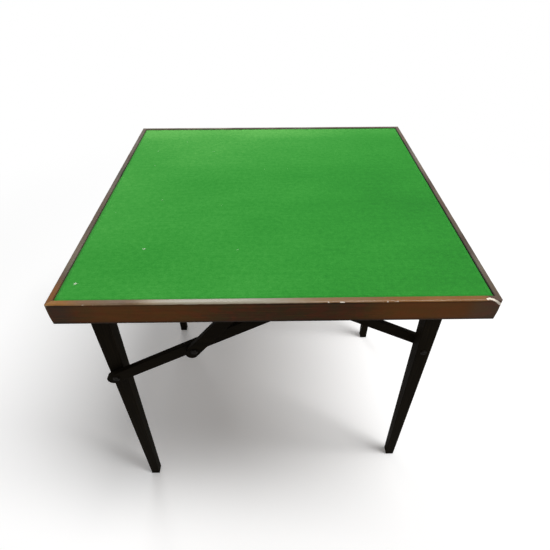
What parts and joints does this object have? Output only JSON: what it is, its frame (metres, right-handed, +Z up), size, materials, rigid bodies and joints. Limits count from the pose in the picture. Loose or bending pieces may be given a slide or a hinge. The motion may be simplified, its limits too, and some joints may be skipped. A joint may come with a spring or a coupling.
{
  "type": "folding card table",
  "caption": "Square baize-topped card table in a slim wooden rim, on tapered legs that fold flat under the top with strut and link braces.",
  "frame": {"origin": "on the floor under the middle of the top, legs open", "axes": "+Z up; +X to the end whose legs stand closer together; +Y to the back edge"},
  "size_m": [0.6896, 0.6896, 0.686],
  "materials": {
    "baize": "green wool baize, matt",
    "panel": "bare birch plywood",
    "rim": "brown stained and varnished hardwood",
    "leg": "dark stained and varnished hardwood",
    "bars": "dark stained hardwood",
    "underframe": "stained softwood",
    "rivet": "dulled steel, stained dark with the bars",
    "fixings": "zinc plated steel"
  },
  "bodies": {
    "table_top": {"baize": "baize", "top_panel": "panel", "rim_front": "rim", "rim_back": "rim", "rim_left": "rim", "rim_right": "rim", "block_front_left": "underframe", "block_back_left": "underframe", "block_front_right": "underframe", "block_back_right": "underframe", "cheek_front_left": "underframe", "cheek_back_left": "underframe", "cheek_front_right": "underframe", "cheek_back_right": "underframe", "bearer_front": "underframe", "bearer_back": "underframe", "inner_rail_front": "underframe", "inner_rail_back": "underframe", "leg_bolts": "fixings", "leg_bolt_washers": "fixings", "link_bolts": "fixings", "link_spacers": "fixings", "link_nuts": "fixings", "block_screws": "fixings", "rim_nails": "fixings"},
    "leg_body_front_left": {"leg_front_left": "leg", "strut_rivet_front_left": "rivet", "strut_washer_front_left": "fixings"},
    "strut_body_front_left": {"strut_front_left": "bars", "knee_rivet_tail_front_left": "rivet"},
    "link_body_front_left": {"link_front_left": "bars", "knee_rivet_head_front_left": "rivet"},
    "leg_body_back_left": {"leg_back_left": "leg", "strut_rivet_back_left": "rivet", "strut_washer_back_left": "fixings"},
    "strut_body_back_left": {"strut_back_left": "bars", "knee_rivet_tail_back_left": "rivet"},
    "link_body_back_left": {"link_back_left": "bars", "knee_rivet_head_back_left": "rivet"},
    "leg_body_front_right": {"leg_front_right": "leg", "strut_rivet_front_right": "rivet", "strut_washer_front_right": "fixings"},
    "strut_body_front_right": {"strut_front_right": "bars", "knee_rivet_tail_front_right": "rivet"},
    "link_body_front_right": {"link_front_right": "bars", "knee_rivet_head_front_right": "rivet"},
    "leg_body_back_right": {"leg_back_right": "leg", "strut_rivet_back_right": "rivet", "strut_washer_back_right": "fixings"},
    "strut_body_back_right": {"strut_back_right": "bars", "knee_rivet_tail_back_right": "rivet"},
    "link_body_back_right": {"link_back_right": "bars", "knee_rivet_head_back_right": "rivet"}
  },
  "joints": [
    {"name": "leg_fold_front_left", "type": "hinge", "parent": "table_top", "child": "leg_body_front_left", "pos_m": [-0.312, -0.2545, 0.657], "axis": [0, -1, 0], "range_deg": [0, 87.5]},
    {"name": "strut_pivot_front_left", "type": "hinge", "parent": "leg_body_front_left", "child": "strut_body_front_left", "pos_m": [-0.312, -0.2545, 0.426], "axis": [0, -1, 0], "range_deg": [-119.3, 0.5]},
    {"name": "link_pivot_front_left", "type": "hinge", "parent": "table_top", "child": "link_body_front_left", "pos_m": [-0.04819, -0.2545, 0.638], "axis": [0, -1, 0], "range_deg": [-0.5, 129.82]},
    {"name": "leg_fold_back_left", "type": "hinge", "parent": "table_top", "child": "leg_body_back_left", "pos_m": [-0.312, 0.2545, 0.657], "axis": [0, -1, 0], "range_deg": [0, 87.5]},
    {"name": "strut_pivot_back_left", "type": "hinge", "parent": "leg_body_back_left", "child": "strut_body_back_left", "pos_m": [-0.312, 0.2545, 0.426], "axis": [0, -1, 0], "range_deg": [-119.3, 0.5]},
    {"name": "link_pivot_back_left", "type": "hinge", "parent": "table_top", "child": "link_body_back_left", "pos_m": [-0.04819, 0.2545, 0.638], "axis": [0, -1, 0], "range_deg": [-0.5, 129.82]},
    {"name": "leg_fold_front_right", "type": "hinge", "parent": "table_top", "child": "leg_body_front_right", "pos_m": [0.312, -0.211, 0.657], "axis": [0, 1, 0], "range_deg": [0, 87.5]},
    {"name": "strut_pivot_front_right", "type": "hinge", "parent": "leg_body_front_right", "child": "strut_body_front_right", "pos_m": [0.312, -0.211, 0.426], "axis": [0, 1, 0], "range_deg": [-117.2, 0.5]},
    {"name": "link_pivot_front_right", "type": "hinge", "parent": "table_top", "child": "link_body_front_right", "pos_m": [0.04998, -0.211, 0.638], "axis": [0, 1, 0], "range_deg": [-0.5, 127]},
    {"name": "leg_fold_back_right", "type": "hinge", "parent": "table_top", "child": "leg_body_back_right", "pos_m": [0.312, 0.211, 0.657], "axis": [0, 1, 0], "range_deg": [0, 87.5]},
    {"name": "strut_pivot_back_right", "type": "hinge", "parent": "leg_body_back_right", "child": "strut_body_back_right", "pos_m": [0.312, 0.211, 0.426], "axis": [0, 1, 0], "range_deg": [-117.2, 0.5]},
    {"name": "link_pivot_back_right", "type": "hinge", "parent": "table_top", "child": "link_body_back_right", "pos_m": [0.04998, 0.211, 0.638], "axis": [0, 1, 0], "range_deg": [-0.5, 127]}
  ],
  "couplings": [
    {"joint": "strut_pivot_front_left", "follows": "leg_fold_front_left", "ratio": -1.3577},
    {"joint": "link_pivot_front_left", "follows": "leg_fold_front_left", "ratio": 1.478},
    {"joint": "strut_pivot_back_left", "follows": "leg_fold_back_left", "ratio": -1.3577},
    {"joint": "link_pivot_back_left", "follows": "leg_fold_back_left", "ratio": 1.478},
    {"joint": "strut_pivot_front_right", "follows": "leg_fold_front_right", "ratio": -1.3337},
    {"joint": "link_pivot_front_right", "follows": "leg_fold_front_right", "ratio": 1.4457},
    {"joint": "strut_pivot_back_right", "follows": "leg_fold_back_right", "ratio": -1.3337},
    {"joint": "link_pivot_back_right", "follows": "leg_fold_back_right", "ratio": 1.4457}
  ]
}
